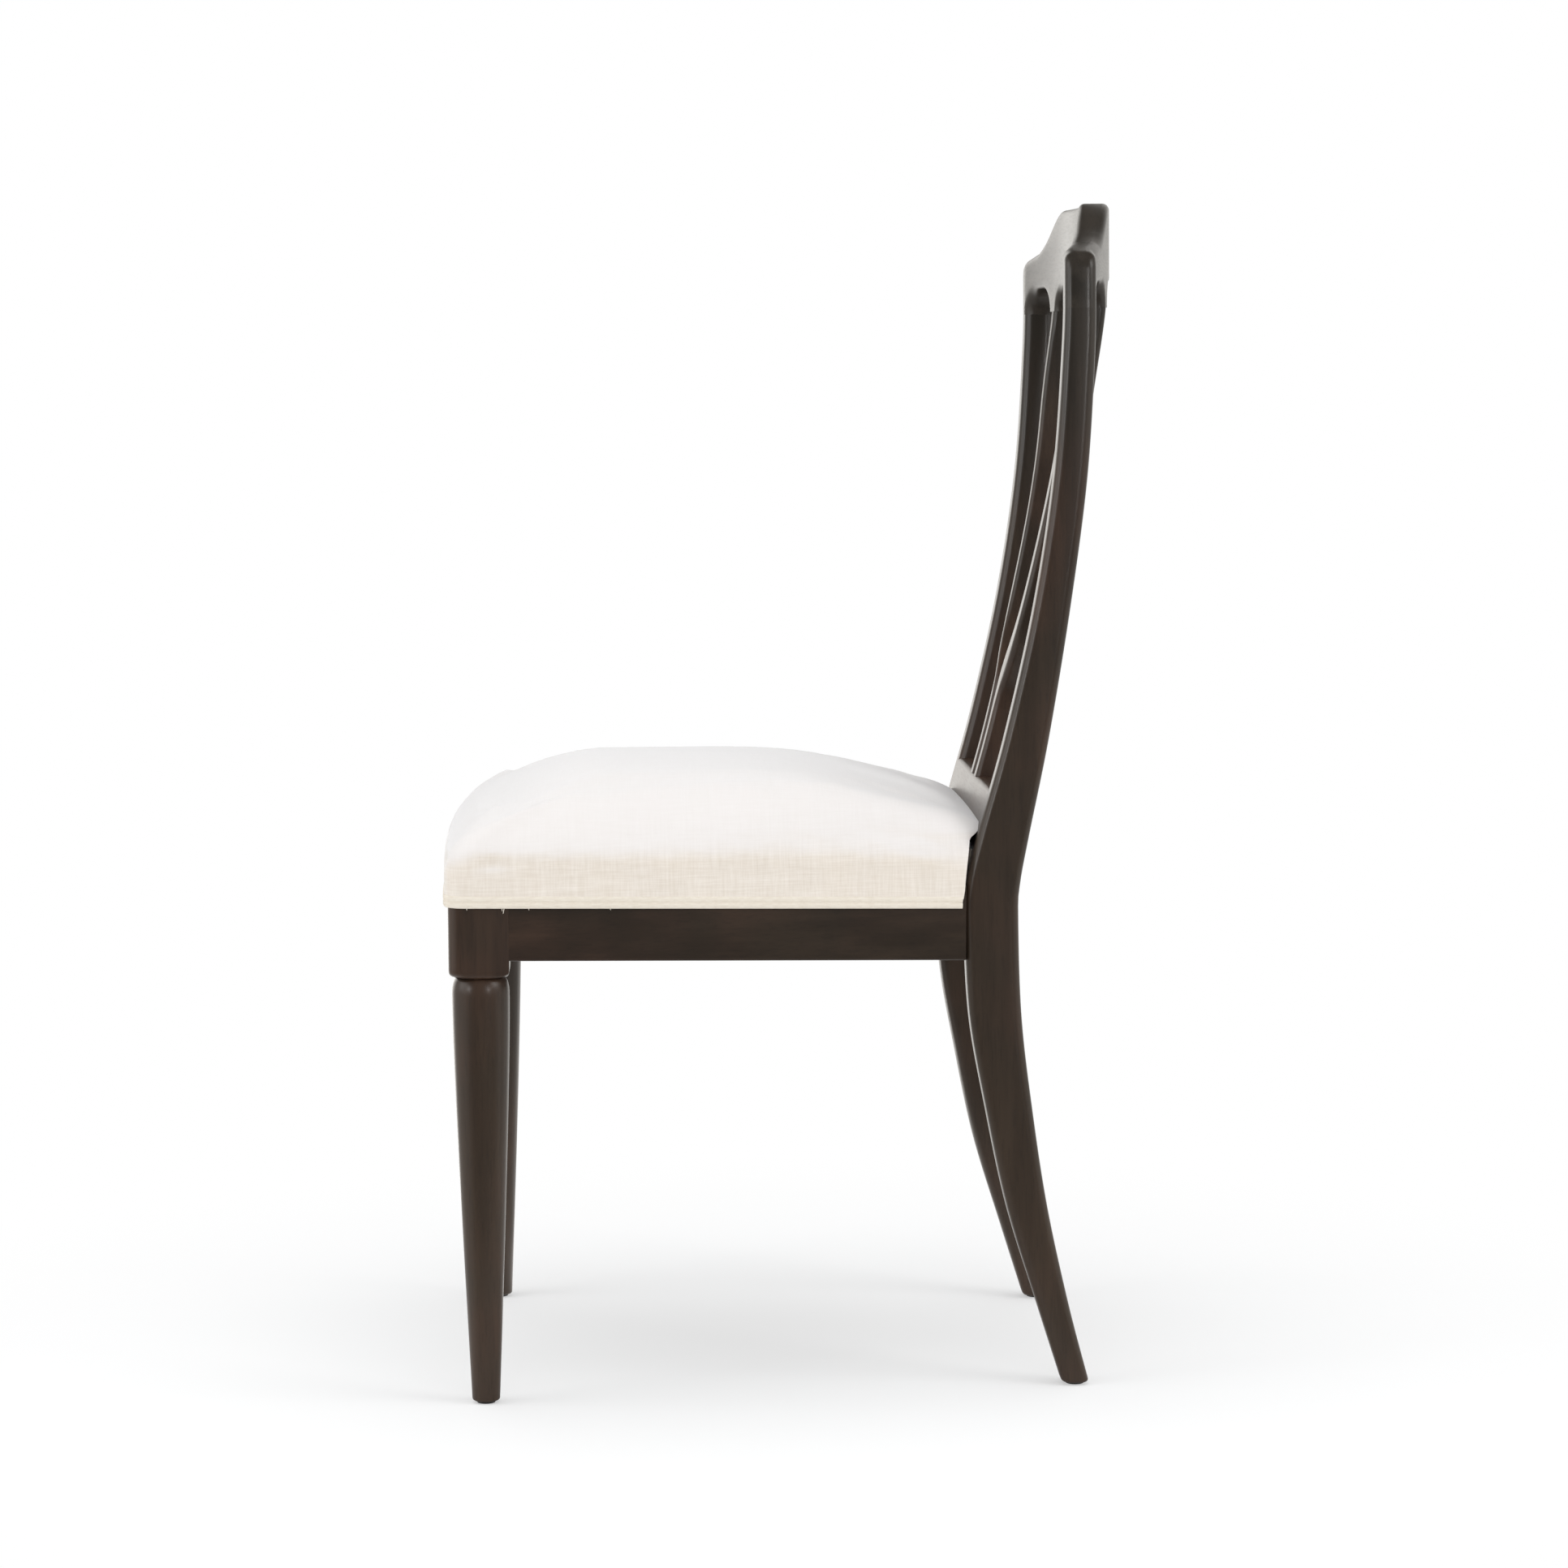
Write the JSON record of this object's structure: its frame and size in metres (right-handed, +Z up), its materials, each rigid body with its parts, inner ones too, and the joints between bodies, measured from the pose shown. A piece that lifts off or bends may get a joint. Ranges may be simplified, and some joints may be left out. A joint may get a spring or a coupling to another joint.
{
  "type": "upholstered side chair",
  "caption": "Wooden side chair with a crowned upholstered seat, turned tapered front legs, swept sabre rear legs and a yoke-shaped crest rail over curved back ribs.",
  "frame": {"origin": "on the floor, under the middle of the chair's outline in width and depth", "axes": "+Z up, -Y towards the front of the chair, +X to the right as seen from the front"},
  "size_m": [0.4866, 0.5636, 0.966],
  "materials": {
    "wood_dark": "dark brown stain under a satin lacquer",
    "wood_raw": "bare hardwood and plywood",
    "linen": "off-white plain-weave linen",
    "foam": "open-cell foam",
    "cambric": "thin black dust cloth",
    "screw_steel": "zinc-plated wood screw",
    "glide_nylon": "dark nylon glide"
  },
  "bodies": {
    "root": {"rear_post_left": "wood_dark", "rear_post_right": "wood_dark", "front_leg_left": "wood_dark", "front_leg_right": "wood_dark", "side_rail_left": "wood_dark", "side_rail_right": "wood_dark", "front_rail": "wood_dark", "rear_rail": "wood_dark", "lower_back_rail": "wood_dark", "back_rib_left": "wood_dark", "back_rib_right": "wood_dark", "crest_rail": "wood_dark", "side_dowel_low_left": "wood_raw", "side_dowel_low_right": "wood_raw", "front_dowel_low_left": "wood_raw", "front_dowel_low_right": "wood_raw", "side_dowel_high_left": "wood_raw", "side_dowel_high_right": "wood_raw", "front_dowel_high_left": "wood_raw", "front_dowel_high_right": "wood_raw", "crest_dowel_inner_left": "wood_raw", "crest_dowel_inner_right": "wood_raw", "crest_dowel_outer_left": "wood_raw", "crest_dowel_outer_right": "wood_raw", "front_corner_block_left": "wood_raw", "front_corner_block_right": "wood_raw", "rear_corner_block_left": "wood_raw", "rear_corner_block_right": "wood_raw", "seat_deck": "wood_raw", "front_block_side_screw_left": "screw_steel", "front_block_side_screw_right": "screw_steel", "front_block_end_screw_left": "screw_steel", "front_block_end_screw_right": "screw_steel", "front_block_deck_screw_left": "screw_steel", "front_block_deck_screw_right": "screw_steel", "rear_block_side_screw_left": "screw_steel", "rear_block_side_screw_right": "screw_steel", "rear_block_end_screw_left": "screw_steel", "rear_block_end_screw_right": "screw_steel", "rear_block_deck_screw_left": "screw_steel", "rear_block_deck_screw_right": "screw_steel", "front_glide_left": "glide_nylon", "front_glide_right": "glide_nylon", "rear_glide_left": "glide_nylon", "rear_glide_right": "glide_nylon", "foam_pad": "foam", "seat_cover": "linen", "double_welt": "linen", "rear_double_welt": "linen", "dust_cover": "cambric"}
  },
  "joints": []
}
